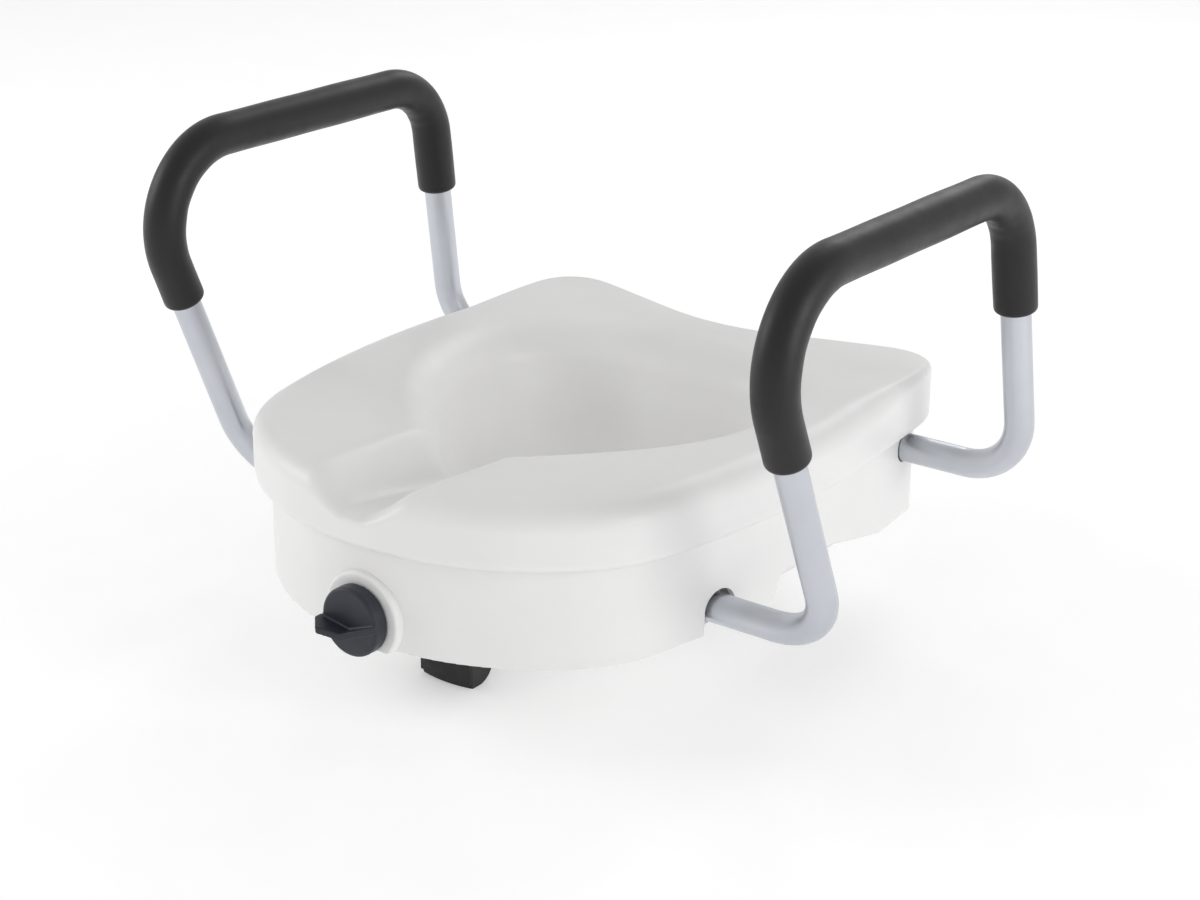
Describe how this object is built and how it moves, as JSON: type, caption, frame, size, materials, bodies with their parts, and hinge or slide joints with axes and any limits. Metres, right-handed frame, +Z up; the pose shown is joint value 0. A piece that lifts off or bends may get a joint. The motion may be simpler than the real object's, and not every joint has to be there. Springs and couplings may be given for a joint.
{
  "type": "raised toilet seat",
  "caption": "Raised toilet seat with a front recess, a clamp lock worked by a knob, and removable padded arms that slide to three widths.",
  "frame": {"origin": "middle of the whole object's width and depth, level with the lowest point of the clamp foot and the rear hooks", "axes": "+X to the right of someone facing the seat's front, +Y to the cistern side, +Z up"},
  "size_m": [0.5708, 0.4922, 0.363],
  "materials": {
    "seat_plastic": "satin moulded polyethylene",
    "base_plastic": "satin moulded polyethylene",
    "guide_plastic": "plain moulded",
    "black_plastic": "plain moulded",
    "knob_plastic": "fine satin",
    "clamp_plastic": "plain moulded",
    "pad_rubber": "smooth",
    "grip_foam": "soft closed-cell foam, skinned",
    "tube_aluminium": "satin anodised",
    "button_steel": "plated",
    "spring_steel": "plain",
    "screw_steel": "plated",
    "spindle_steel": "plated"
  },
  "bodies": {
    "base": {"seat_top": "seat_plastic", "base_skirt": "base_plastic", "shell_screws": "screw_steel", "rim_pads": "pad_rubber", "tube_guide_front_left": "guide_plastic", "tube_guide_front_right": "guide_plastic", "tube_guide_rear_left": "guide_plastic", "tube_guide_rear_right": "guide_plastic", "guide_screws": "screw_steel", "knob_washer": "guide_plastic", "rear_hook_left": "clamp_plastic", "rear_hook_right": "clamp_plastic", "hook_pad_left": "pad_rubber", "hook_pad_right": "pad_rubber", "hook_screws": "screw_steel"},
    "arm_right": {"arm_tube_right": "tube_aluminium", "foam_grip_right": "grip_foam", "tube_plugs_right": "black_plastic", "button_spring_right": "spring_steel"},
    "arm_left": {"arm_tube_left": "tube_aluminium", "foam_grip_left": "grip_foam", "tube_plugs_left": "black_plastic", "button_spring_left": "spring_steel"},
    "button_right": {"snap_button_right": "button_steel"},
    "button_left": {"snap_button_left": "button_steel"},
    "knob": {"lock_knob": "knob_plastic", "spindle": "spindle_steel", "spindle_collar": "spindle_steel"},
    "clamp": {"clamp_carriage": "clamp_plastic", "clamp_nut": "spindle_steel", "clamp_pad": "pad_rubber"}
  },
  "joints": [
    {"name": "arm_right_slide", "type": "slide", "parent": "base", "child": "arm_right", "axis": [1, 0, 0], "range_m": [-0.03, 0]},
    {"name": "button_right_press", "type": "slide", "parent": "arm_right", "child": "button_right", "axis": [0, 0, -1], "range_m": [0, 0.005], "stiffness_N_per_m": 800, "springref_m": -0.004},
    {"name": "arm_left_slide", "type": "slide", "parent": "base", "child": "arm_left", "axis": [-1, 0, 0], "range_m": [-0.03, 0]},
    {"name": "button_left_press", "type": "slide", "parent": "arm_left", "child": "button_left", "axis": [0, 0, -1], "range_m": [0, 0.005], "stiffness_N_per_m": 800, "springref_m": -0.004},
    {"name": "knob_turn", "type": "hinge", "parent": "base", "child": "knob", "pos_m": [0, -0.2196, 0.083], "axis": [0, 1, 0], "range_deg": [0, 2160]},
    {"name": "clamp_slide", "type": "slide", "parent": "base", "child": "clamp", "axis": [0, -1, 0], "range_m": [0, 0.03]}
  ],
  "couplings": [
    {"joint": "knob_turn", "follows": "clamp_slide", "rad_per_m": 1256.6}
  ]
}
